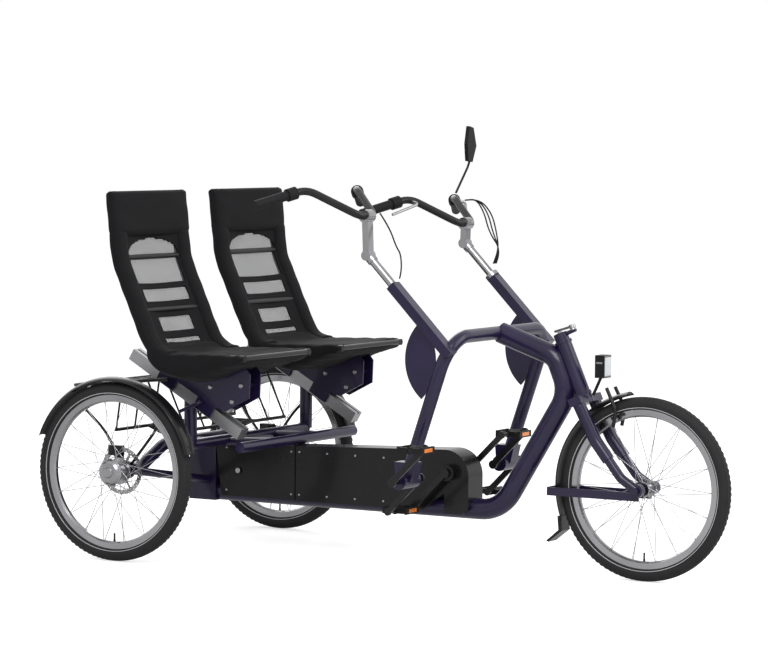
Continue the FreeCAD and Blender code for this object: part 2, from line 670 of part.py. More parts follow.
def seat_carriage(side_name, frame):
    """Two sliders round the rail, the side plates that stand on them and the clamp lever."""
    side = SIDES[side_name]
    name = side_name + "_seat_carriage"
    turn = turn_to(RAIL_DOWN)
    up = turn.multVec(X_AXIS)
    if up.z < 0:
        up = up * -1
    gap = size("seat_gap")
    solids = []
    tools = []
    for index, x in enumerate((120, 268)):
        centre = rail_centre(x) + RAIL_SIDE * side + up * 8
        solids.append(block(f"{name}_slider_{index}", centre, "sizes.rail_high + 4", "sizes.rail_wide + 16",
                "74", turn))
        tools.append(block(f"{name}_channel_{index}", centre - up * (8 + 6),
                           "sizes.rail_high + 12 + 2 * sizes.seat_gap",
                           "sizes.rail_wide + 2 * sizes.seat_gap", "80", turn))
    for index, out in enumerate((-1, 1)):
        y = side * (size("rail_y") + out * (size("rail_wide") / 2 + 10.5))
        plane = Y_AXIS * y
        solids.append(plate(f"{name}_plate_{index}", [
            plane + at(60, 0, 664), plane + at(300, 0, 530), plane + at(360, 0, 512),
            plane + at(452, 0, 560), plane + at(455, 0, 640), plane + at(410, 0, 694), plane + at(160, 0, 694)], Y_AXIS, 5))
    tie = Y_AXIS * side * size("rail_y")
    for index, (x, z) in enumerate(((180, 640), (420, 600))):
        solids.append(rod(f"{name}_tie_{index}", tie + at(x, -32, z), tie + at(x, 32, z), "8"))
    lever = side * (size("rail_y") + size("rail_wide") / 2 + 8)
    solids.append(tube(name + "_lever", [at(268, lever, 545), at(268, lever + side * 22, 540),
                                         at(190, lever + side * 26, 504)], [12], "6"))
    return part(name, cut(name + "_solid", fuse(name + "_all", solids), fuse(name + "_tools",
            tools + [frame])))


# ---------------------------------------------------------------- cranks and pedals
PEDALS = {
    "right_rider_right": (-1, 1), "right_rider_left": (-1, -1),
    "left_rider_right": (1, 1), "left_rider_left": (1, -1),
}


def pin_centre(foot):
    """The crank pin's centre for a rider's right (+1) or left (-1) foot."""
    return CRANK + heading(size("crank_angle")) * size("crank_long") * foot


def crank_arm(name, y, foot):
    """A crank arm at y, from the axis to a pin."""
    thick = size("crank_thick")
    start = CRANK + Y_AXIS * (y - thick / 2)
    end = pin_centre(foot) + Y_AXIS * (y - thick / 2)
    turn = Rotation(Y_AXIS, -size("crank_angle"))
    middle = (start + end) / 2 + Y_AXIS * thick / 2
    return [cylinder(name + "_eye", start, Y_AXIS, "15", "sizes.crank_thick"),
            cylinder(name + "_tip", end, Y_AXIS, "12", "sizes.crank_thick"),
            block(name + "_bar", middle, "sizes.crank_long", "sizes.crank_thick", "1.5 * sizes.crank_wide",
                    turn)]


def cranks(side_name):
    """One rider's cranks: outer pair on a spindle, and a third arm into the chain case."""
    side = SIDES[side_name]
    name = side_name + "_cranks"
    rider = side * size("rider_y")
    outer = rider + side * size("crank_y")
    inner = rider - side * size("crank_y")
    case = side * size("case_crank_y")
    outer_foot = -side
    inner_foot = side
    solids = crank_arm(name + "_outer", outer, outer_foot)
    solids += crank_arm(name + "_inner", inner, inner_foot)
    solids += crank_arm(name + "_case", case, inner_foot)
    solids.append(rod(name + "_spindle", CRANK + Y_AXIS * outer, CRANK + Y_AXIS * inner,
            "sizes.spindle_radius"))
    solids.append(rod(name + "_centre", CRANK, CRANK + Y_AXIS * case, "sizes.spindle_radius"))
    solids.append(rod(name + "_inner_pin", pin_centre(inner_foot) + Y_AXIS * inner,
                      pin_centre(inner_foot) + Y_AXIS * case, "sizes.pin_radius"))
    solids.append(rod(name + "_outer_pin", pin_centre(outer_foot) + Y_AXIS * outer,
                      pin_centre(outer_foot) + Y_AXIS * (outer + side * 2 * size("pedal_y") - side * 20),
                      "sizes.pin_radius"))
    return part(name, fuse(name + "_solid", solids))


def pedal(name, side, foot):
    """A platform pedal: two side plates and a cage round a sleeve that turns on the pin."""
    rider = side * size("rider_y")
    outer = foot == -side
    middle = (size("rider_y") - size("crank_y") + size("case_crank_y")) / 2
    y = rider + side * (size("crank_y") + size("pedal_y")) if outer else side * middle
    centre = pin_centre(foot) + Y_AXIS * y
    wide = size("pedal_wide")
    sleeve = cylinder(name + "_sleeve", centre - Y_AXIS * wide / 2, Y_AXIS, "sizes.pin_radius + 5",
            "sizes.pedal_wide")
    solids = [sleeve]
    for index, x in enumerate((-1, 1)):
        place = centre + X_AXIS * x * (size("pedal_long") / 2 - 4)
        solids.append(block(f"{name}_bar_{index}", place, "8", "sizes.pedal_wide", "sizes.pedal_high"))
    for index, out in enumerate((-1, 1)):
        place = centre + Y_AXIS * out * (wide / 2 - 4)
        solids.append(block(f"{name}_side_{index}", place, "sizes.pedal_long - 8", "8",
                "sizes.pedal_high - 4"))
    solids.append(block(name + "_web", centre, "sizes.pedal_long - 10", "10", "10"))
    bore = cylinder(name + "_bore", centre - Y_AXIS * (wide / 2 + 1), Y_AXIS,
            "sizes.pin_radius + sizes.run_gap",
                    "sizes.pedal_wide + 2")
    label = name + "_pedal"
    return part(label, cut(label + "_solid", fuse(name + "_cage", solids), bore))


# ---------------------------------------------------------------- handlebars
CLAMPS = {"right": (862, 1172), "left": (850, 1132)}
POST_LONG = {"right": 132, "left": 160}


def handlebar(side_name):
    """A bent handlebar whose middle lies in the stem's clamp, cut back to make room for the grips."""
    x, z = CLAMPS[side_name]
    clamp = at(x, 0, z) + RIDER * SIDES[side_name]
    reach = size("bar_reach")
    half = [Vector(0, 45, 0), Vector(-135, reach, 86), Vector(-135 - 84, reach + 174, 86 - 50)]
    mirror = lambda point: Vector(point.x, -point.y, point.z)
    points = [clamp + mirror(point) for point in half[::-1]] + [clamp + point for point in half]
    name = side_name + "_handlebar"
    bar = tube(name + "_bar", points, [80, 58, 58, 80], "sizes.bar_tube")
    grips = []
    for index, (bend, end) in enumerate(((points[1], points[0]), (points[-2], points[-1]))):
        back = (bend - end).normalize()
        grip = cylinder(f"{name}_grip_{index}", end - back * 4, back, "sizes.grip_radius", "sizes.grip_long")
        collar = cylinder(f"{name}_collar_{index}", end + back * (size("grip_long") - 6), back, "21", "34")
        grips.append(fuse(f"{name}_end_{index}", [grip, collar]))
    ends = group(side_name + "_grips_all", [cut(f"{name}_sleeve_{index}", grip, bar) for index,
            grip in enumerate(grips)])
    part(name, bar)
    part(side_name + "_grips", ends)
    return bar, clamp


def stem(side_name, bar, clamp):
    """The bright post and the stem that holds the handlebar."""
    side = RIDER * SIDES[side_name]
    name = side_name + "_stem"
    gap = size("seat_gap") if side_name == "left" else 0
    foot = COLUMN_TOP + side - COLUMN_DOWN * gap
    top = COLUMN_TOP + side - COLUMN_DOWN * POST_LONG[side_name]
    solids = [rod(name + "_post", foot, top, "sizes.post_radius"), rod(name + "_elbow",
            top + COLUMN_DOWN * 28, top, "18"),
              rod(name + "_hinge", top - Y_AXIS * 19, top + Y_AXIS * 19, "17")]
    rise = clamp - top
    middle = top + rise / 2
    arm = block(name + "_arm", middle, "22", "34", str(rise.Length), turn_to(rise))
    solids.append(arm)
    solids.append(rod(name + "_clamp", clamp - Y_AXIS * 22, clamp + Y_AXIS * 22, "21"))
    if side_name == "left":
        solids.append(rod(name + "_collar", foot, foot - COLUMN_DOWN * 14, "24"))
    return part(name, cut(name + "_solid", fuse(name + "_all", solids), bar))


def tie_rod():
    """The rod from the steering arm towards the lever of the left handlebar's shaft."""
    arm = HEAD_TOP - HEAD_DOWN * (size("seat_gap") + 18) + heading(90 - size("head_angle")) * 50
    start = arm - HEAD_DOWN * 14
    end = COLUMN_LOW + RIDER + Vector(34, -30, 44)
    eye = cylinder("tie_eye", start - HEAD_DOWN * -6, HEAD_DOWN * -1, "11", "12")
    bar = rod("tie_bar", start, start + (end - start) * 0.93, "5")
    return part("tie_rod", fuse("tie_rod_solid", [bar, eye]))


def controls(clamp):
    """The brake levers on the left handlebar, and the mirror on its stalk."""
    reach = size("bar_reach")
    solids = []
    for name, side in SIDES.items():
        bend = clamp + Vector(-135, side * reach, 86)
        along = Vector(-84, side * 174, -50).normalize()
        start = bend + along * 2 + Vector(16, 0, -10)
        solids.append(tube(name + "_brake_lever", [start, start + Vector(26, side * 6, -8),
                start + along * 118 + Vector(28, 0, -14)],
                           [12], "5"))
    return solids


def mirror(clamp):
    """A rear-view mirror on a thin stalk that rises from the left grip's end of the bar."""
    bend = clamp + Vector(-135, size("bar_reach"), 86)
    foot = bend + Vector(4, 8, 14)
    knee = foot + Vector(18, 52, 90)
    stalk = tube("mirror_stalk", [foot, knee, knee + Vector(8, 6, 34)], [30], "4")
    base = knee + Vector(6, 4, 22)
    shell = plate("mirror_shell", [base + Vector(0, -22, 0), base + Vector(0, 8, -4), base + Vector(0, 36,
            52),
                                   base + Vector(0, 14, 116), base + Vector(0, -16, 122), base + Vector(0,
                                           -30, 60)],
                  X_AXIS, 14)
    return part("mirror", fuse("mirror_solid", [stalk, shell]))


# ---------------------------------------------------------------- fork
def fork():
    """The front fork: crown, two stepped legs, drop-outs, axle and the flat stay."""
    gap = size("seat_gap")
    crown_top = HEAD_LOW + HEAD_DOWN * gap
    half = size("fork_half")
    solids = [cylinder("crown_race", crown_top, HEAD_DOWN, "27", "30")]
    solids.append(block("crown", crown_top + HEAD_DOWN * 16, "44", "2 * sizes.fork_half + 44", "26",
            turn_to(HEAD_DOWN)))
    for name, side in SIDES.items():
        out = Y_AXIS * side
        top = crown_top + HEAD_DOWN * 6 + out * half
        knee = at(1556, 0, 452) + out * half
        low = at(1648, 0, 336) + out * half
        axle = Vector(FRONT_X, 0, AXLE_Z) + out * half
        solids.append(tube(name + "_leg_top", [top, knee, (knee + low) / 2], [90], "sizes.leg_radius + 2"))
        solids.append(tube(name + "_leg_low", [(knee * 2 + low) / 3, low, axle], [60],
                "sizes.leg_low_radius"))
        solids.append(rod(name + "_drop_out", axle - out * 14, axle + out * 12, "22"))
        solids.append(rod(name + "_axle_nut", axle + out * 12, axle + out * 22, "11"))
        stay = Vector(FRONT_X, 0, AXLE_Z - 22) + out * 50
        reach = FRONT_X - GUARD_OUTER - 8
        solids.append(block(name + "_stay", Vector((stay.x + reach) / 2, stay.y, stay.z),
                str(stay.x - reach), "4", "28"))
    back = Vector(FRONT_X - GUARD_OUTER - 8, 0, AXLE_Z - 22)
    solids.append(block("stay_back", back, "4", "104", "28"))
    solids.append(rod("front_axle", Vector(FRONT_X, -half, AXLE_Z), Vector(FRONT_X, half, AXLE_Z), "6"))
    steerer = HEAD_TOP - HEAD_DOWN * gap
    solids.append(cylinder("steerer_cap", steerer, HEAD_DOWN * -1, "24", "26"))
    arm = steerer - HEAD_DOWN * 18
    solids.append(rod("steering_arm", arm, arm + heading(90 - size("head_angle")) * 58, "7"))
    return part("fork", group("fork_solid", [fuse("fork_low", solids[:-2]), fuse("fork_top", solids[-2:])]))


def front_guard():
    """The front mudguard behind the tyre, its flap and the bracket to the crown."""
    shell = guard("front_guard_shell", FRONT_X, 0, "sizes.front_guard_high", "sizes.front_guard_low")
    x, z = polar(GUARD_OUTER - 4, size("front_guard_low"))
    start = Vector(FRONT_X + x, 0, AXLE_Z + z)
    flap = plate("front_guard_flap", [start + Vector(-4, 0, 4), start + Vector(4, 0, 2), start + Vector(14,
            0, -44),
                                      start + Vector(-36, 0, -84), start + Vector(-44, 0, -80),
                                              start + Vector(0, 0, -42)],
                 Y_AXIS, 2 * size("guard_half") - 6)
    return part("front_guard", fuse("front_guard_solid", [shell, flap]))


def headlight():
    """The headlight on its bracket ahead of the crown."""
    base = HEAD_LOW + HEAD_DOWN * 12 + heading(90 - size("head_angle")) * 32.6
    lamp = Vector(base.x + 34, 0, base.z + 95)
    body = block("lamp_body", lamp, "34", "52", "74")
    bracket = tube("lamp_bracket", [base, base + Vector(16, 0, 34), lamp - Vector(4, 0, 30)], [30], "5")
    return part("headlight", fuse("headlight_solid", [body, bracket]))


def front_brake():
    """Rim brake arms on the fork legs with their pads beside the rim."""
    solids = []
    pad_x, pad_z = polar(size("rim_outer") - 8, 112)
    for name, side in SIDES.items():
        pad = Vector(FRONT_X + pad_x, side * 20, AXLE_Z + pad_z)
        arm = tube(name + "_brake_arm", [pad + Vector(-8, side * 12, -34), pad + Vector(2, side * 16, 20),
                                         pad + Vector(-34, side * 12, 92)], [40], "6")
        shoe = block(name + "_brake_shoe", pad, "44", "9", "10", Rotation(Y_AXIS, -22))
        link = rod(name + "_brake_link", pad, pad + Vector(0, side * 14, 0), "5")
        solids.append(fuse(name + "_rim_brake", [arm, shoe, link]))
    return solids


# ---------------------------------------------------------------- cables
def cables():
    """The cables that leave the handlebars and run down to the columns."""
    right = CLAMPS["right"]
    start = at(right[0], 0, right[1]) - RIDER + Vector(12, 62, 8)
    top = COLUMN_TOP - RIDER - COLUMN_DOWN * 2 + Vector(20, 10, 20)
    part("right_cable", cable("right_cable_tube", [
        start, start + Vector(34, 4, -46), start + Vector(62, 0, -108), (start + top) / 2 + Vector(46, -8,
                -24),
        top + Vector(8, 0, 26), top], "2.6"))
    left = CLAMPS["left"]
    runs = []
    for index, (spread, reach) in enumerate(((26, 92), (40, 70), (54, 48))):
        start = at(left[0], 0, left[1]) + RIDER + Vector(-40, spread + 40, 78)
        top = COLUMN_TOP + RIDER - COLUMN_DOWN * 30 + Vector(24, -10 + 10 * index, 26)
        runs.append(cable(f"left_cable_{index}", [
            start, start + Vector(reach * 0.6, -6, 8), start + Vector(reach + 20, -14, -40),
            start + Vector(reach + 46, -24, -110), top + Vector(20, 2, 44), top], "2.6"))
    part("left_cables", group("left_cables_all", runs))


# ---------------------------------------------------------------- the whole tricycle
def build():
    front_wheel()
    spine = main_tube()
    bow = arch(spine)
    for name in SIDES:
        rear_wheel(name)
        column(name, bow)
    rails = [rail(name) for name in SIDES]
    room = tube("spine_room", [at(size("spine_rear") - 5, 0, size("spine_z")),
                               at(size("spine_bend"), 0, size("spine_z")),
                               at(size("down_top_x"), 0, size("down_top_z"))], [130],
                                       "sizes.main_tube + sizes.box_gap")
    frame = rear_frame(rails, room)
    battery_box(room)
    chain_case(room)
    rack = rear_rack()
    part("rear_rack", cut("rear_rack_solid", rack, frame))
    pair = calipers()
    part("brake_calipers", group("calipers_all", [cut(f"caliper_{index}", item, frame)
                                                  for index, item in enumerate(pair)]))
    for name in SIDES:
        rear_guard(name)
        seat = seat_frame(name)
        seat_cover(name)
        seat_carriage(name, seat)
        cranks(name)
    for name, (side, foot) in PEDALS.items():
        pedal(name, side, foot)
    for name in SIDES:
        bar, clamp = handlebar(name)
        stem(name, bar, clamp)
    levers = controls(clamp)
    part("brake_levers", group("brake_levers_all", levers))
    mirror(clamp)
    forks = fork()
    front_guard()
    headlight()
    part("front_brake", group("front_brake_all", front_brake()))
    tie_rod()
    cables()


def export():
    """Recompute, check every object, and write one STEP file for each sub-part."""
    doc.recompute()
    failed = [item.Name for item in doc.Objects if {"Invalid", "Error"} & set(item.State)]
    if failed:
        raise RuntimeError(f"objects that failed: {failed}")
    os.makedirs("parts", exist_ok=True)
    bad = [item.Label for item in PARTS if item.Shape.isNull() or not item.Shape.isValid() or not item.Shape.Solids]
    if bad:
        raise RuntimeError(f"parts with no valid solid: {bad}")
    for item in PARTS:
        item.Shape.exportStep(f"parts/{item.Label}.step")
        print(f"{item.Label}: {len(item.Shape.Solids)} solid(s), {item.Shape.Volume / 1000:.0f} cm3")


build()
export()
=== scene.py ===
"""Looks of a side-by-side two-seat tricycle: paint, metal, rubber, sling seats and studio."""
import json
import math

import bmesh
import bpy
from bpy.props import FloatProperty, FloatVectorProperty, IntProperty, PointerProperty
from mathutils import Matrix, Vector


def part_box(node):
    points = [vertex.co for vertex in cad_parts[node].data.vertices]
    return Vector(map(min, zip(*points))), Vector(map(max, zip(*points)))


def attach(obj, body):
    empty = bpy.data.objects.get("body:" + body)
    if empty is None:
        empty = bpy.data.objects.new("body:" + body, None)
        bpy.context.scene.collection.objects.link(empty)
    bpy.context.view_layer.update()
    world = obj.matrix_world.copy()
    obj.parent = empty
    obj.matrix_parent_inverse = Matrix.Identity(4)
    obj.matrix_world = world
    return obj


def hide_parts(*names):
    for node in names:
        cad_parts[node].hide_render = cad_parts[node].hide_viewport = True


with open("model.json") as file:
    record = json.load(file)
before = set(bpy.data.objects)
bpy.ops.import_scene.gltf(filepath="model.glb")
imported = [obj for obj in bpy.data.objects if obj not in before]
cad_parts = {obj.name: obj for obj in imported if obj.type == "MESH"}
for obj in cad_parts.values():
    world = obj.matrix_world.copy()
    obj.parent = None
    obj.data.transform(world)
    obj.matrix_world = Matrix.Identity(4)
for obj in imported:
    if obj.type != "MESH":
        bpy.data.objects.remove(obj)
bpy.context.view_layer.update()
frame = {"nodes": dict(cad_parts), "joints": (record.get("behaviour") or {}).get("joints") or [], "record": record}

bl_info = {
    "name": "Two-seat tricycle",
    "version": (1, 0, 0),
    "blender": (4, 2, 0),
    "location": "3D View > Sidebar > Tricycle",
    "description": "Dresses the side-by-side tricycle and lights it",
    "category": "Object",
}

# Each node's material slot, as the record gives it.
SLOT_OF = {row["node"]: row["material_slot"] for row in frame["record"]["subparts"]}


# ---------------------------------------------------------------- sizes and colours
class FinishSettings(bpy.types.PropertyGroup):
    """Colours of the finishes."""
    paint: FloatVectorProperty(name="Paint", description="Frame paint", subtype="COLOR", size=3,
                               default=(0.012, 0.007, 0.034))
    black: FloatVectorProperty(name="Black", description="Plastic and rubber", subtype="COLOR",
                               size=3, default=(0.006, 0.006, 0.007))
    metal: FloatVectorProperty(name="Metal", description="Bare metal", subtype="COLOR", size=3,
                               default=(0.34, 0.34, 0.352))
    reflector: FloatVectorProperty(name="Reflector", description="Pedal reflectors",
                                   subtype="COLOR", size=3, default=(0.85, 0.22, 0.02))


class DetailSettings(bpy.types.PropertyGroup):
    """Sizes of the small pieces."""
    lugs: IntProperty(name="Tread lugs", description="Lugs in one row of a tyre", default=96)
    lug_reach: FloatProperty(name="Lug reach", description="How far a lug stands from the axle",
                             default=0.2985, unit="LENGTH")


class StageSettings(bpy.types.PropertyGroup):
    """The camera's lens and where it stands and looks."""
    lens: FloatProperty(name="Lens", description="Focal length in millimetres", default=154.0)
    place: FloatVectorProperty(name="Camera", description="Where the camera stands", size=3,
                               default=(5.3216, -9.6235, 1.4801), unit="LENGTH")
    azimuth: FloatProperty(name="Azimuth", description="Heading of the camera",
                           default=math.radians(29.5), subtype="ANGLE")
    drop: FloatProperty(name="Drop", description="How far the camera looks down",
                        default=math.radians(3.74), subtype="ANGLE")
    roll: FloatProperty(name="Roll", description="Lean of the camera",
                        default=math.radians(0.55), subtype="ANGLE")


# ---------------------------------------------------------------- materials
def finish_material(name, colour, roughness, metallic=0.0, grain=900.0, stretch=(1, 1, 1),
                    tint=0.25, bump=0.1, coat=0.0, sheen=0.0, specular=0.5):
    """A finish whose colour, roughness and surface all vary with a noise held to the piece."""
    material = bpy.data.materials.new(name)
    material.use_nodes = True
    tree = material.node_tree
    shader = tree.nodes["Principled BSDF"]
    shader.inputs["Metallic"].default_value = metallic
    shader.inputs["Coat Weight"].default_value = coat
    shader.inputs["Coat Roughness"].default_value = 0.06
    shader.inputs["Sheen Weight"].default_value = sheen
    shader.inputs["Specular IOR Level"].default_value = specular
    place = tree.nodes.new("ShaderNodeTexCoord")
    scale = tree.nodes.new("ShaderNodeMapping")
    scale.inputs["Scale"].default_value = stretch
    tree.links.new(place.outputs["Object"], scale.inputs["Vector"])
    fine = tree.nodes.new("ShaderNodeTexNoise")
    fine.inputs["Scale"].default_value = grain
    broad = tree.nodes.new("ShaderNodeTexNoise")
    broad.inputs["Scale"].default_value = 9.0
    broad.inputs["Detail"].default_value = 5.0
    for noise in (fine, broad):
        tree.links.new(scale.outputs["Vector"], noise.inputs["Vector"])
    ramp = tree.nodes.new("ShaderNodeValToRGB")
    ramp.color_ramp.elements[0].position = 0.3
    ramp.color_ramp.elements[1].position = 0.7
    ramp.color_ramp.elements[0].color = (*[c * (1 - tint) for c in colour], 1)
    ramp.color_ramp.elements[1].color = (*[min(1, c * (1 + tint)) for c in colour], 1)
    tree.links.new(broad.outputs["Fac"], ramp.inputs["Fac"])
    tree.links.new(ramp.outputs["Color"], shader.inputs["Base Color"])
    gloss = tree.nodes.new("ShaderNodeMapRange")
    gloss.inputs["To Min"].default_value = roughness * 0.8
    gloss.inputs["To Max"].default_value = roughness * 1.2
    tree.links.new(broad.outputs["Fac"], gloss.inputs["Value"])
    tree.links.new(gloss.outputs["Result"], shader.inputs["Roughness"])
    relief = tree.nodes.new("ShaderNodeBump")
    relief.inputs["Strength"].default_value = bump
    relief.inputs["Distance"].default_value = 0.0006
    tree.links.new(fine.outputs["Fac"], relief.inputs["Height"])
    tree.links.new(relief.outputs["Normal"], shader.inputs["Normal"])
    return material


def woven_material(name, colour, threads, open_share=0.0):
    """A plain weave of crossing threads, with holes between them where it is open."""
    material = finish_material(name, colour, 0.8, grain=2500, bump=0.05, sheen=0.03,
                               specular=0.12)
    tree = material.node_tree
    shader = tree.nodes["Principled BSDF"]
    place = tree.nodes.new("ShaderNodeTexCoord")
    waves = []
    for direction in ("X", "Y"):
        wave = tree.nodes.new("ShaderNodeTexWave")
        wave.bands_direction = direction
        wave.inputs["Scale"].default_value = threads
        tree.links.new(place.outputs["UV"], wave.inputs["Vector"])
        waves.append(wave)
    weave = tree.nodes.new("ShaderNodeMath")
    weave.operation = "MAXIMUM"
    for index, wave in enumerate(waves):
        tree.links.new(wave.outputs["Fac"], weave.inputs[index])
    relief = tree.nodes.new("ShaderNodeBump")
    relief.inputs["Strength"].default_value = 0.15
    relief.inputs["Distance"].default_value = 0.0008
    tree.links.new(weave.outputs["Value"], relief.inputs["Height"])
    tree.links.new(relief.outputs["Normal"], shader.inputs["Normal"])
    if open_share:
        solid = tree.nodes.new("ShaderNodeMath")
        solid.operation = "GREATER_THAN"
        solid.inputs[1].default_value = open_share
        tree.links.new(weave.outputs["Value"], solid.inputs[0])
        tree.links.new(solid.outputs["Value"], shader.inputs["Alpha"])
    return material


def make_finishes():
    """Every finish, by the name of its slot in the record."""
    colours = bpy.context.scene.trike_finish
    black, metal = tuple(colours.black), tuple(colours.metal)
    return {
        "painted_frame": finish_material("gloss purple paint", tuple(colours.paint), 0.3,
                                         grain=500, bump=0.04, coat=0.3, tint=0.18,
                                         specular=0.25),
        "gloss_black": finish_material("gloss black panel", black, 0.28, grain=400, bump=0.03,
                                       coat=0.12, specular=0.2),
        "black_plastic": finish_material("moulded black plastic", black, 0.45, bump=0.2,
                                         specular=0.2),
        "black_metal": finish_material("satin black enamel", black, 0.36, bump=0.08,
                                       coat=0.15, specular=0.25),
        "black_rubber": finish_material("soft black rubber", black, 0.65, grain=1400,
                                        bump=0.3, specular=0.2),
        "tyre_rubber": finish_material("tyre rubber", (0.014, 0.014, 0.015), 0.7, grain=700,
                                       bump=0.35, specular=0.25),
        "polished_metal": finish_material("polished alloy", metal, 0.2, metallic=1, tint=0.08,
                                          grain=600, bump=0.03),
        "anodised_rail": finish_material("anodised alloy", metal, 0.36, metallic=1, tint=0.06,
                                         stretch=(1, 30, 30), grain=60, bump=0.06),
        "steel": finish_material("brushed steel", metal, 0.3, metallic=1, tint=0.12,
                                 stretch=(1, 20, 1), grain=120, bump=0.08),
        "black_fabric": woven_material("sling fabric", black, 320),
        "reflecting_band": finish_material("reflecting band", (0.42, 0.42, 0.43), 0.35,
                                           grain=1500, bump=0.1, tint=0.1),
        "lamp_glass": finish_material("ribbed lamp glass", (0.7, 0.72, 0.74), 0.08, grain=300,
                                      bump=0.1, tint=0.05, coat=0.6),
    }


# ---------------------------------------------------------------- making pieces
def add_piece(name, mesh, material, body):
    """A finished mesh becomes a piece of a body."""
    piece = bpy.data.objects.new(name, mesh)
    bpy.context.scene.collection.objects.link(piece)
    mesh.materials.append(material)
    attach(piece, body)
    return piece


def middle_of(node):
    """Middle and size of a node's box."""
    low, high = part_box(node)
    return (low + high) / 2, high - low


class TRIKE_OT_finish_nodes(bpy.types.Operator):
    """Give every node of the frame the finish of its slot"""
    bl_idname = "trike.finish_nodes"
    bl_label = "Finish nodes"

    def execute(self, context):
        for node, piece in frame["nodes"].items():
            finish = FINISH[SLOT_OF[node]]
            piece.data.materials.clear()
            piece.data.materials.append(finish)
        return {"FINISHED"}


def add_block(mesh, centre, size, turn):
    """One small bevelled block joined to a mesh under construction."""
    place = Matrix.Translation(centre) @ turn @ Matrix.Diagonal((*size, 1))
    made = bmesh.ops.create_cube(mesh, size=1, matrix=place)
    edges = {edge for vert in made["verts"] for edge in vert.link_edges}
    bmesh.ops.bevel(mesh, geom=list(edges), offset=min(size) * 0.25, segments=1, affect="EDGES")


class TRIKE_OT_tread(bpy.types.Operator):
    """Raise rows of tread lugs on the three tyres"""
    bl_idname = "trike.tread"
    bl_label = "Tyre tread"

    def execute(self, context):
        detail = context.scene.trike_detail
        for wheel in ("front", "right_rear", "left_rear"):
            centre, _ = middle_of(wheel + "_tyre")
            mesh = bmesh.new()
            for index in range(detail.lugs):
                for across, shift in ((-0.010, 0.0), (0.0, 0.5), (0.010, 0.0)):
                    angle = (index + shift) * 2 * math.pi / detail.lugs
                    turn = Matrix.Rotation(angle, 4, "Y")
                    reach = detail.lug_reach + (0.0008 if across == 0 else -0.0004)
                    spot = centre + turn @ Vector((reach - 0.002, across, 0))
                    add_block(mesh, spot, (0.004, 0.0075, 0.011), turn)
            data = bpy.data.meshes.new(wheel + "_tread")
            mesh.to_mesh(data)
            mesh.free()
            body = wheel + "_wheel"
            add_piece(wheel + "_tread", data, FINISH["tyre_rubber"], body)
        return {"FINISHED"}


class TRIKE_OT_reflectors(bpy.types.Operator):
    """Set an orange reflector in each end of the pedals"""
    bl_idname = "trike.reflectors"
    bl_label = "Pedal reflectors"

    def execute(self, context):
        colour = tuple(context.scene.trike_finish.reflector)
        glow = finish_material("orange reflector", colour, 0.2, grain=1800, bump=0.4, coat=0.6)
        for rider in ("right", "left"):
            for foot in ("right", "left"):
                pedal = f"{rider}_rider_{foot}_pedal"
                centre, size = middle_of(pedal)
                mesh = bmesh.new()
                for end in (-1, 1):
                    spot = centre + Vector((end * (size.x / 2 + 0.0002), 0, 0))
                    add_block(mesh, spot, (0.003, 0.05, 0.012), Matrix.Identity(4))
                data = bpy.data.meshes.new(pedal + "_reflectors")
                mesh.to_mesh(data)
                mesh.free()
                add_piece(pedal + "_reflectors", data, glow, pedal)
        return {"FINISHED"}


# ---------------------------------------------------------------- seats
# The tubes' line in side view, from the top of the back to the front of the base: distance in
# front of the rear axle, height, and how far a corner's arc reaches along its two runs.
SEAT_CORNERS = ((-0.022, 1.238, 0), (0.002, 1.005, 0.035), (0.148, 0.690, 0.072),
                (0.505, 0.700, 0))
SEAT_STEP = 0.006
COLUMN_STEP = 0.006
PANEL_HALF = 0.185
MESH_HALF = 0.165
ROLL_OFFSET = 0.191
BASE_HALF = 0.229
# Heights of the back's bend and of the head pocket's lower edge.
BEND_HEIGHT = 0.702
POCKET_HEIGHT = 1.120
# Windows in the back, from the top down: upper edge, lower edge, half width.
WINDOWS = ((1.075, 1.025, 0.150), (1.005, 0.930, 0.142), (0.908, 0.866, 0.134),
           (0.812, 0.768, 0.098), (0.742, 0.704, 0.104))


def seat_line(axle):
    """Points and sitter-side normals along a seat, evenly spaced, with its corners rounded."""
    corners = [Vector((axle.x + x, 0, z)) for x, z, _ in SEAT_CORNERS]
    rough = [corners[0]]
    for before, corner, after, row in zip(corners, corners[1:], corners[2:], SEAT_CORNERS[1:]):
        start = corner + (before - corner).normalized() * row[2]
        end = corner + (after - corner).normalized() * row[2]
        for index in range(13):
            part = index / 12
            rough.append(start.lerp(corner, part).lerp(corner.lerp(end, part), part))
    rough.append(corners[-1])
    points, spare = [rough[0]], 0.0
    for start, end in zip(rough, rough[1:]):
        run = (end - start).length
        while spare + run >= SEAT_STEP and run > 0:
            start = start.lerp(end, (SEAT_STEP - spare) / run)
            run = (end - start).length
            points.append(start)
            spare = 0.0
        spare += run
    stations = []
    for index, point in enumerate(points):
        ahead = points[min(index + 1, len(points) - 1)] - points[max(index - 1, 0)]
        ahead.normalize()
        stations.append((point, Vector((-ahead.z, 0, ahead.x))))
    return stations


def first_below(line, height):
    """Index of the first station of a seat's line that is lower than a height."""
    return next(i for i, (point, _) in enumerate(line) if point.z < height)


def ripple(along, across, side):
    """Height of the cloth's slow folds at a place on a seat."""
    return (math.sin(along * 31 + across * 9 + side) * math.sin(across * 23 - along * 7)
            + 0.5 * math.sin(along * 83 - across * 41 + 2 * side))


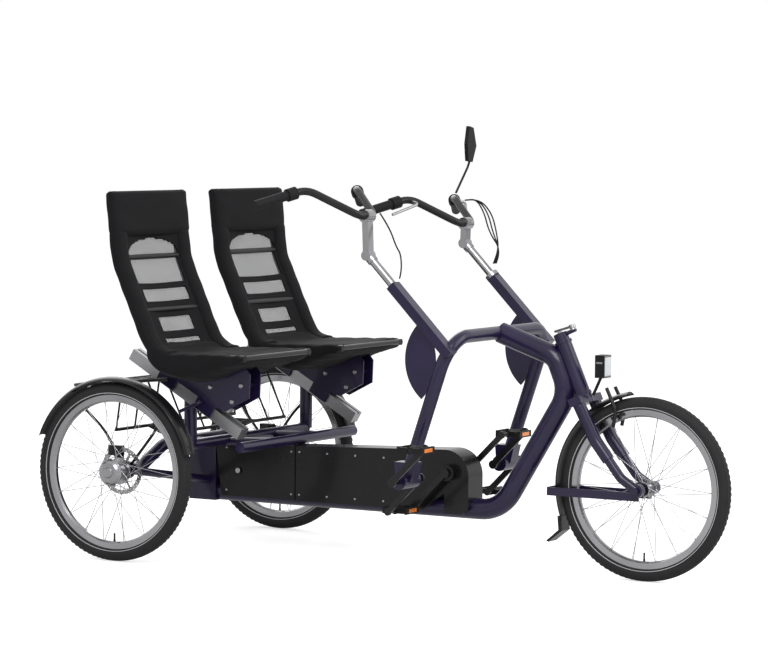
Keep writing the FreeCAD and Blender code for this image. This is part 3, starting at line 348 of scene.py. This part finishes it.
def fill_grid(mesh, rows, closed, keep=None):
    """Faces between rows of vertices, with UVs in metres along and across."""
    layer = mesh.loops.layers.uv.verify()
    count = len(rows[0])
    for index in range(len(rows) - 1):
        for column in range(count if closed else count - 1):
            if keep and not keep(index, column):
                continue
            beside = (column + 1) % count
            corners = ((index, column), (index, beside), (index + 1, beside), (index + 1, column))
            face = mesh.faces.new([rows[i][j] for i, j in corners])
            face.smooth = True
            width = [0, 1, 1, 0]
            for loop, (i, _), step in zip(face.loops, corners, width):
                loop[layer].uv = (i * SEAT_STEP, (column + step) * COLUMN_STEP)


def finish_mesh(name, mesh):
    """Turn a mesh under construction into mesh data with its faces outwards."""
    data = bpy.data.meshes.new(name)
    bmesh.ops.recalc_face_normals(mesh, faces=mesh.faces)
    mesh.to_mesh(data)
    mesh.free()
    return data


def closed_loft(mesh, stations, section):
    """A closed roll of cloth: section gives (across, out) points for each station."""
    rows = []
    for index, (point, out) in enumerate(stations):
        ring = section(index / (len(stations) - 1))
        rows.append([mesh.verts.new(point + Vector((0, across, 0)) + out * rise)
                     for across, rise in ring])
    fill_grid(mesh, rows, True)
    for ends in (rows[0], rows[-1]):
        mesh.faces.new(ends)


def squared_ring(half, front, back, power, count=56):
    """Points of a superellipse with its own depth towards the sitter and behind."""
    ring = []
    for index in range(count):
        angle = 2 * math.pi * index / count
        c, s = math.cos(angle), math.sin(angle)
        reach = abs(s) ** power * (front if s > 0 else back)
        ring.append((math.copysign(abs(c) ** power * half, c), math.copysign(reach, s)))
    return ring


class TRIKE_OT_seats(bpy.types.Operator):
    """Sew the two sling seats: head pocket, side rolls, windowed panel, mesh and base"""
    bl_idname = "trike.seats"
    bl_label = "Sling seats"

    def execute(self, context):
        axle, _ = middle_of("right_rear_tyre")
        axle = Vector((axle.x, 0, 0))
        mesh_cloth = woven_material("open mesh", (0.11, 0.11, 0.115), 200, 0.50)
        for side_name, sign in (("right", -1), ("left", 1)):
            low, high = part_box(side_name + "_seat_frame")
            across = Vector((0, (low.y + high.y) / 2, 0))
            line = [(point + across, out) for point, out in seat_line(axle)]
            self.sew_cover(side_name, sign, line)
            self.sew_panel(side_name, sign, line)
            self.stretch_mesh(side_name, line, mesh_cloth)
        return {"FINISHED"}

    def sew_cover(self, side_name, sign, line):
        """Head pocket, the two side rolls and the sagging base, in one piece."""
        mesh = bmesh.new()
        bend = first_below(line, BEND_HEIGHT)
        pocket = first_below(line, POCKET_HEIGHT)

        def head(u):
            end = min(1, 0.25 + u * 16) if u < 0.05 else 1 - max(0, u - 0.9) * 5
            return [(a * (0.97 + 0.03 * end), r * end + 0.0012 * ripple(u * 0.15, a, sign))
                    for a, r in squared_ring(0.228, 0.021, 0.021, 0.34)]

        def base(u):
            end = min(1, 0.35 + u * 9, 0.3 + (1 - u) * 14)
            belly = 0.030 + 0.056 * math.sin(math.pi * min(1, u * 1.08) ** 0.8) ** 1.3
            ring = squared_ring(BASE_HALF, 0.020, belly, 0.5)
            return [(a * (0.96 + 0.04 * end), r * end
                     - (0.012 * (1 - (a / BASE_HALF) ** 2) if r > 0 else 0)
                     + 0.0022 * ripple(u * 0.4, a, sign)) for a, r in ring]

        closed_loft(mesh, line[:pocket + 6], head)
        closed_loft(mesh, line[bend - 9:], base)
        for edge in (-1, 1):
            def roll(u):
                taper = min(1, 0.5 + u * 12)
                return [(edge * ROLL_OFFSET + a,
                         r * taper + 0.0014 * ripple(u * 0.5, edge * 0.2, sign))
                        for a, r in squared_ring(0.037, 0.021, 0.020, 0.72, 28)]
            closed_loft(mesh, line[pocket:bend + 8], roll)
        name = side_name + "_seat_cloth"
        piece = add_piece(name, finish_mesh(name, mesh), FINISH["black_fabric"],
                          side_name + "_seat")
        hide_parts(side_name + "_seat_cover")

    def sew_panel(self, side_name, sign, line):
        """The back's inner panel with its windows, as one layer of doubled webbing."""
        mesh = bmesh.new()
        bend = first_below(line, BEND_HEIGHT)
        stations = line[:bend + 3]
        columns = 63
        rows = []
        for point, out in stations:
            row = []
            for index in range(columns):
                a = PANEL_HALF * (2 * index / (columns - 1) - 1)
                sag = 0.010 - 0.012 * (1 - (a / PANEL_HALF) ** 2)
                row.append(point + Vector((0, a, 0)) + out * sag)
            rows.append(row)
        open_faces = set()
        for number, (upper, lower, half) in enumerate(WINDOWS):
            for column in range(columns - 1):
                a = PANEL_HALF * (2 * (column + 0.5) / (columns - 1) - 1)
                if abs(a) < half:
                    rise = upper
                    if number == 0:
                        rise = lower + (upper - lower) * math.sqrt(1 - (a / half) ** 2)
                    open_faces |= {(index, column) for index in range(len(stations) - 1)
                                   if lower < (stations[index][0].z
                                               + stations[index + 1][0].z) / 2 < rise}
        made = [[mesh.verts.new(spot) for spot in row] for row in rows]
        fill_grid(mesh, made, False, lambda i, j: (i, j) not in open_faces)
        loose = [vert for vert in mesh.verts if not vert.link_faces]
        bmesh.ops.delete(mesh, geom=loose, context="VERTS")
        name = side_name + "_seat_panel"
        piece = add_piece(name, finish_mesh(name, mesh), FINISH["black_fabric"],
                          side_name + "_seat")
        soften = piece.modifiers.new("rounded corners", "SMOOTH")
        soften.iterations = 3
        thick = piece.modifiers.new("two layers", "SOLIDIFY")
        thick.thickness = 0.0035
        thick.offset = 0

    def stretch_mesh(self, side_name, line, cloth):
        """The open mesh that shows in the windows, stretched just behind the panel."""
        mesh = bmesh.new()
        bend = first_below(line, BEND_HEIGHT)
        stations = line[22:bend]
        rows = []
        columns = 29
        for point, out in stations:
            row = []
            for index in range(columns):
                a = MESH_HALF * (2 * index / (columns - 1) - 1)
                sag = 0.003 - 0.012 * (1 - (a / PANEL_HALF) ** 2)
                row.append(mesh.verts.new(point + Vector((0, a, 0)) + out * sag))
            rows.append(row)
        fill_grid(mesh, rows, False)
        name = side_name + "_seat_mesh"
        piece = add_piece(name, finish_mesh(name, mesh), cloth, side_name + "_seat")


# ---------------------------------------------------------------- small fittings
# Half the width of the battery box and the chain case.
SHELL_HALF = 0.051
# Inner radius, thickness and width of a tyre's light ring, and its depth below the widest point.
RING_RADIUS, RING_THICK, RING_WIDE, RING_DEPTH = 0.2645, 0.0022, 0.0022, 0.0040
VALVE_RADIUS = 0.2365
# Bolts on a seat's side plate: distance in front of the rear axle, and height.
PLATE_HALF = 0.0355
PLATE_BOLTS = ((0.185, 0.642), (0.300, 0.590), (0.385, 0.545), (0.420, 0.600),
               (0.405, 0.668), (0.330, 0.655))
LAMP_RIBS = 7
# The mirror shell's outline, across and up from its foot.
MIRROR_OUTLINE = ((-0.022, 0.0), (0.008, -0.004), (0.036, 0.052), (0.014, 0.116),
                  (-0.016, 0.122), (-0.030, 0.060))
MIRROR_MIDDLE = Vector((0.0, 0.002, 0.058))


def add_disc(mesh, centre, axis, radius, height, sides=20, dome=0.7):
    """A domed round head on a face, its axis towards the one given."""
    turn = axis.to_track_quat("Z", "Y").to_matrix().to_4x4()
    place = Matrix.Translation(centre + axis * height / 2) @ turn
    bmesh.ops.create_cone(mesh, cap_ends=True, segments=sides, radius1=radius,
                          radius2=radius * dome, depth=height, matrix=place)


def add_ring(mesh, centre, axis, radius, thick, wide, around=96):
    """A flat ring of rectangular section about an axis."""
    turn = axis.to_track_quat("Z", "Y").to_matrix()
    rows = []
    for index in range(around):
        angle = 2 * math.pi * index / around
        out = Vector((math.cos(angle), math.sin(angle), 0))
        rows.append([mesh.verts.new(centre + turn @ (out * (radius + r) + Vector((0, 0, z))))
                     for r, z in ((0, 0), (thick, 0), (thick, wide), (0, wide))])
    for index in range(around):
        here, there = rows[index], rows[(index + 1) % around]
        for corner in range(4):
            beside = (corner + 1) % 4
            mesh.faces.new((here[corner], here[beside], there[beside], there[corner]))


def fitting(name, mesh, finish, body, smooth=True):
    """Turn a mesh under construction into a piece with softly bevelled edges."""
    data = finish_mesh(name, mesh)
    if smooth:
        for face in data.polygons:
            face.use_smooth = True
    piece = add_piece(name, data, FINISH[finish], body)
    edge = piece.modifiers.new("edges", "BEVEL")
    edge.width, edge.segments, edge.limit_method = 0.0004, 2, "ANGLE"
    return piece


class TRIKE_OT_wheel_trim(bpy.types.Operator):
    """Reflecting rings and valves on the three wheels"""
    bl_idname = "trike.wheel_trim"
    bl_label = "Wheel trim"

    def execute(self, context):
        for wheel in ("front", "right_rear", "left_rear"):
            centre, size = middle_of(wheel + "_tyre")
            body = wheel + "_wheel"
            rings = bmesh.new()
            for side in (-1, 1):
                axis = Vector((0, side, 0))
                spot = centre + axis * (size.y / 2 - RING_DEPTH)
                add_ring(rings, spot, axis, RING_RADIUS, RING_THICK, RING_WIDE)
            fitting(wheel + "_bands", rings, "reflecting_band", body)
            valve = bmesh.new()
            spot = centre + Vector((0, 0, -VALVE_RADIUS))
            add_disc(valve, spot, Vector((0, 0, 1)), 0.003, 0.030, 12, 1.0)
            add_disc(valve, spot - Vector((0, 0, 0.004)), Vector((0, 0, 1)), 0.0042, 0.012, 12, 0.9)
            fitting(wheel + "_valve", valve, "black_rubber", body)
        return {"FINISHED"}


class TRIKE_OT_bolts(bpy.types.Operator):
    """Bolt heads on the seats' side plates, rivets and the lock on the long case"""
    bl_idname = "trike.bolts"
    bl_label = "Bolts and rivets"

    def execute(self, context):
        axle, _ = middle_of("right_rear_tyre")
        for side_name in ("right", "left"):
            mesh = bmesh.new()
            rail_low, rail_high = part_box(side_name + "_rail")
            rail = (rail_low.y + rail_high.y) / 2
            for out in (-1, 1):
                face = rail + out * PLATE_HALF
                for x, z in PLATE_BOLTS:
                    spot = Vector((axle.x + x, face, z))
                    add_disc(mesh, spot, Vector((0, out, 0)), 0.0085, 0.0045, 24, 0.75)
                    add_disc(mesh, spot + Vector((0, out * 0.004, 0)), Vector((0, out, 0)),
                             0.0045, 0.0012, 6, 0.9)
            fitting(side_name + "_plate_bolts", mesh, "steel", side_name + "_seat", False)
        rivets, lock = bmesh.new(), bmesh.new()
        case_low, case_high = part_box("chain_case")
        box_low, box_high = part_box("battery_box")
        spots = [(case_low.x + (case_high.x - case_low.x) * (0.02 + 0.165 * index))
                 for index in range(4)]
        spots += [box_low.x + 0.045, box_high.x - 0.014]
        for out in (-1, 1):
            for x in spots:
                for z in (box_low.z + 0.020, box_high.z - 0.020):
                    add_disc(rivets, Vector((x, out * SHELL_HALF, z)), Vector((0, out, 0)),
                             0.0042, 0.0016, 16)
        key = Vector((box_low.x + 0.095, box_low.y, box_low.z + 0.090))
        outward = Vector((0, -1, 0))
        add_disc(lock, key, outward, 0.0095, 0.0014, 28, 0.92)
        add_block(lock, key + outward * 0.0016, (0.0018, 0.0008, 0.009), Matrix.Identity(4))
        fitting("case_rivets", rivets, "steel", "frame")
        fitting("battery_lock", lock, "polished_metal", "frame", False)
        return {"FINISHED"}


class TRIKE_OT_lamp(bpy.types.Operator):
    """The headlight's bezel, ribbed lens and side strips, and the mirror's glass"""
    bl_idname = "trike.lamp"
    bl_label = "Lamp and mirror glass"

    def execute(self, context):
        low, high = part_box("headlight")
        face = Vector((high.x, (low.y + high.y) / 2, high.z - 0.037))
        bezel, lens, strips, glass = bmesh.new(), bmesh.new(), bmesh.new(), bmesh.new()
        add_block(bezel, face, (0.0014, 0.050, 0.071), Matrix.Identity(4))
        for index in range(LAMP_RIBS):
            spot = face + Vector((0.0012, (index - LAMP_RIBS // 2) * 0.0064, 0))
            add_block(lens, spot, (0.0024, 0.0054, 0.060), Matrix.Identity(4))
        for side in (-1, 1):
            spot = face + Vector((-0.018, side * 0.0261, 0.012))
            add_block(strips, spot, (0.022, 0.0016, 0.006), Matrix.Identity(4))
        low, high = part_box("mirror")
        foot = Vector((high.x - 0.014, high.y - 0.036, high.z - 0.122))
        rings = []
        for depth in (0.0004, -0.0010):
            rings.append([glass.verts.new(foot + MIRROR_MIDDLE + Vector((depth, 0, 0))
                                          + (Vector((0, y, z)) - MIRROR_MIDDLE) * 0.88)
                          for y, z in MIRROR_OUTLINE])
        for ring in rings:
            glass.faces.new(ring)
        for index in range(len(MIRROR_OUTLINE)):
            beside = (index + 1) % len(MIRROR_OUTLINE)
            glass.faces.new((rings[0][index], rings[0][beside], rings[1][beside],
                             rings[1][index]))
        fitting("lamp_bezel", bezel, "polished_metal", "fork", False)
        fitting("lamp_lens", lens, "lamp_glass", "fork", False)
        fitting("lamp_strips", strips, "polished_metal", "fork", False)
        fitting("mirror_glass", glass, "polished_metal", "left_bars", False)
        return {"FINISHED"}


class TRIKE_OT_head_links(bpy.types.Operator):
    """Bright nuts on the steering head and on the tie rod's end"""
    bl_idname = "trike.head_links"
    bl_label = "Head nuts"

    def execute(self, context):
        joints = {joint["name"]: joint for joint in frame["joints"]}
        arm = Vector(joints["tie_rod_turn"]["pos_m"])
        up = Vector(joints["tie_rod_turn"]["axis"]).normalized()
        if up.z < 0:
            up = -up
        ends = bmesh.new()
        add_disc(ends, arm + up * 0.002, up, 0.0095, 0.008, 24, 0.85)
        add_disc(ends, arm + up * 0.010, up, 0.0055, 0.007, 6, 1.0)
        fitting("rod_end_nut", ends, "steel", "fork", False)
        top = Vector(joints["steering"]["pos_m"])
        nut = bmesh.new()
        add_disc(nut, top + up * 0.018, up, 0.0165, 0.010, 6, 1.0)
        add_disc(nut, top + up * 0.028, up, 0.0105, 0.006, 24, 0.6)
        fitting("head_nut", nut, "polished_metal", "fork", False)
        return {"FINISHED"}


# ---------------------------------------------------------------- cables
CABLE_RADIUS = 0.0026


def cable_routes(axle_x):
    """Each cable's name, body, node and route, from a handlebar to its column's top."""
    column = Vector((axle_x + 0.960, 0, 0.950))
    lean = math.radians(-45.5)
    down = Vector((math.cos(lean), 0, math.sin(lean)))
    rider = Vector((0, 0.352, 0))
    start = Vector((axle_x + 0.862, 0, 1.172)) - rider + Vector((0.012, 0.062, 0.008))
    top = column - rider - down * 0.002 + Vector((0.020, 0.010, 0.020))
    yield ("right_cable_run", "frame", "right_cable",
           [start, start + Vector((0.034, 0.004, -0.046)), start + Vector((0.062, 0, -0.108)),
            (start + top) / 2 + Vector((0.046, -0.008, -0.024)),
            top + Vector((0.008, 0, 0.026)), top])
    for index, (spread, reach) in enumerate(((0.026, 0.092), (0.040, 0.070), (0.054, 0.048))):
        start = (Vector((axle_x + 0.850, 0, 1.132)) + rider
                 + Vector((-0.040, spread + 0.040, 0.078)))
        top = column + rider - down * 0.030 + Vector((0.024, -0.010 + 0.010 * index, 0.026))
        yield (f"left_cable_run_{index + 1}", "left_bars", "left_cables",
               [start, start + Vector((reach * 0.6, -0.006, 0.008)),
                start + Vector((reach + 0.020, -0.014, -0.040)),
                start + Vector((reach + 0.046, -0.024, -0.110)),
                top + Vector((0.020, 0.002, 0.044)), top])


def curve_length(piece):
    """Length of a curve's smooth line, without its thickness."""
    line = bpy.data.meshes.new_from_object(piece)
    spots = [vert.co for vert in line.vertices]
    total = sum((b - a).length for a, b in zip(spots, spots[1:]))
    bpy.data.meshes.remove(line)
    return total


class TRIKE_OT_cables(bpy.types.Operator):
    """Run the four brake and gear cables from the handlebars to the columns"""
    bl_idname = "trike.cables"
    bl_label = "Cables"

    def execute(self, context):
        axle, _ = middle_of("right_rear_tyre")
        for name, body, node, route in cable_routes(axle.x):
            curve = bpy.data.curves.new(name, "CURVE")
            curve.dimensions = "3D"
            curve.resolution_u = 16
            spline = curve.splines.new("NURBS")
            spline.points.add(len(route) - 1)
            for point, spot in zip(spline.points, route):
                point.co = (*spot, 1)
            spline.order_u = 3
            spline.use_endpoint_u = True
            piece = bpy.data.objects.new(name, curve)
            context.scene.collection.objects.link(piece)
            length = curve_length(piece)
            curve.bevel_depth = CABLE_RADIUS
            curve.bevel_resolution = 3
            curve.use_fill_caps = True
            curve.materials.append(FINISH["black_rubber"])
            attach(piece, body)
            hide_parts(node)
        return {"FINISHED"}


class TRIKE_OT_stage(bpy.types.Operator):
    """Lay the floor, light the studio and stand the camera"""
    bl_idname = "trike.stage"
    bl_label = "Studio"

    def execute(self, context):
        scene = context.scene
        stage = scene.trike_stage
        scene.view_settings.view_transform = "Standard"
        bpy.ops.mesh.primitive_plane_add(size=60, location=(0, 0, 0))
        floor = context.object
        floor.name = "studio_floor"
        floor.data.materials.append(pale_material("pale floor", 0.82))
        light_world(scene)
        for name, place, power, size in (("key", (2.5, -4.5, 5.0), 260, 3.5),
                                         ("fill", (5.0, 1.5, 3.5), 110, 4.0),
                                         ("back", (-4.0, 4.0, 4.0), 110, 4.0)):
            light = bpy.data.lights.new(name, "AREA")
            light.energy, light.size = power, size
            lamp = bpy.data.objects.new(name + "_light", light)
            lamp.location = place
            aim = Vector((0, 0, 0.6)) - Vector(place)
            lamp.rotation_euler = aim.to_track_quat("-Z", "Y").to_euler()
            scene.collection.objects.link(lamp)
        add_camera(scene, stage)
        return {"FINISHED"}


def pale_material(name, shade):
    """A pale ground that the camera sees as white, and that keeps the shadow."""
    material = finish_material(name, (shade, shade, shade), 0.8, grain=40, tint=0.01, bump=0.02)
    tree = material.node_tree
    shader = tree.nodes["Principled BSDF"]
    shader.inputs["Emission Color"].default_value = (1, 1, 1, 1)
    path = tree.nodes.new("ShaderNodeLightPath")
    glow = tree.nodes.new("ShaderNodeMath")
    glow.operation = "MULTIPLY"
    glow.inputs[1].default_value = 0.5
    tree.links.new(path.outputs["Is Camera Ray"], glow.inputs[0])
    tree.links.new(glow.outputs["Value"], shader.inputs["Emission Strength"])
    return material


def light_world(scene):
    """A soft even world, white to the camera and in reflections."""
    world = bpy.data.worlds.new("studio")
    scene.world = world
    world.use_nodes = True
    tree = world.node_tree
    ground = tree.nodes["Background"]
    path = tree.nodes.new("ShaderNodeLightPath")
    seen = tree.nodes.new("ShaderNodeMath")
    seen.operation = "MAXIMUM"
    tree.links.new(path.outputs["Is Camera Ray"], seen.inputs[0])
    tree.links.new(path.outputs["Is Transmission Ray"], seen.inputs[1])
    shown = tree.nodes.new("ShaderNodeMath")
    shown.operation = "MAXIMUM"
    tree.links.new(seen.outputs["Value"], shown.inputs[0])
    tree.links.new(path.outputs["Is Glossy Ray"], shown.inputs[1])
    level = tree.nodes.new("ShaderNodeMapRange")
    level.inputs["To Min"].default_value = 0.6
    level.inputs["To Max"].default_value = 1.0
    tree.links.new(shown.outputs["Value"], level.inputs["Value"])
    ground.inputs["Color"].default_value = (1, 1, 1, 1)
    tree.links.new(level.outputs["Result"], ground.inputs["Strength"])


def add_camera(scene, stage):
    """The camera at its place, turned by heading, drop and roll."""
    a, e, q = stage.azimuth, stage.drop, stage.roll
    look = Vector((-math.sin(a) * math.cos(e), math.cos(a) * math.cos(e), -math.sin(e)))
    level_right = Vector((math.cos(a), math.sin(a), 0))
    level_up = level_right.cross(look)
    right = level_right * math.cos(q) + level_up * math.sin(q)
    up = level_up * math.cos(q) - level_right * math.sin(q)
    data = bpy.data.cameras.new("camera")
    data.lens = stage.lens
    data.sensor_width = 36
    data.clip_end = 100
    camera = bpy.data.objects.new("camera", data)
    turn = Matrix((right, up, -look)).transposed().to_4x4()
    camera.matrix_world = Matrix.Translation(Vector(stage.place)) @ turn
    scene.collection.objects.link(camera)
    scene.camera = camera


class TRIKE_PT_panel(bpy.types.Panel):
    """The tricycle's pieces and settings"""
    bl_idname = "TRIKE_PT_panel"
    bl_label = "Two-seat tricycle"
    bl_space_type = "VIEW_3D"
    bl_region_type = "UI"
    bl_category = "Tricycle"

    def draw(self, context):
        for group in (context.scene.trike_finish, context.scene.trike_detail,
                      context.scene.trike_stage):
            for field in group.__annotations__:
                self.layout.prop(group, field)
        for operator in STEPS:
            self.layout.operator(operator.bl_idname)


GROUPS = {"trike_finish": FinishSettings, "trike_detail": DetailSettings,
          "trike_stage": StageSettings}
STEPS = (TRIKE_OT_stage, TRIKE_OT_cables, TRIKE_OT_finish_nodes, TRIKE_OT_tread,
         TRIKE_OT_wheel_trim, TRIKE_OT_reflectors, TRIKE_OT_seats, TRIKE_OT_bolts, TRIKE_OT_lamp,
         TRIKE_OT_head_links)
FINISH = {}


def register():
    for item in (*GROUPS.values(), *STEPS, TRIKE_PT_panel):
        bpy.utils.register_class(item)
    for name, group in GROUPS.items():
        setattr(bpy.types.Scene, name, PointerProperty(type=group))


def unregister():
    for name in GROUPS:
        delattr(bpy.types.Scene, name)
    for item in reversed((*GROUPS.values(), *STEPS, TRIKE_PT_panel)):
        bpy.utils.unregister_class(item)


def main():
    register()
    FINISH.update(make_finishes())
    for step in STEPS:
        space, action = step.bl_idname.split(".")
        getattr(getattr(bpy.ops, space), action)()


if __name__ == "__main__":
    main()
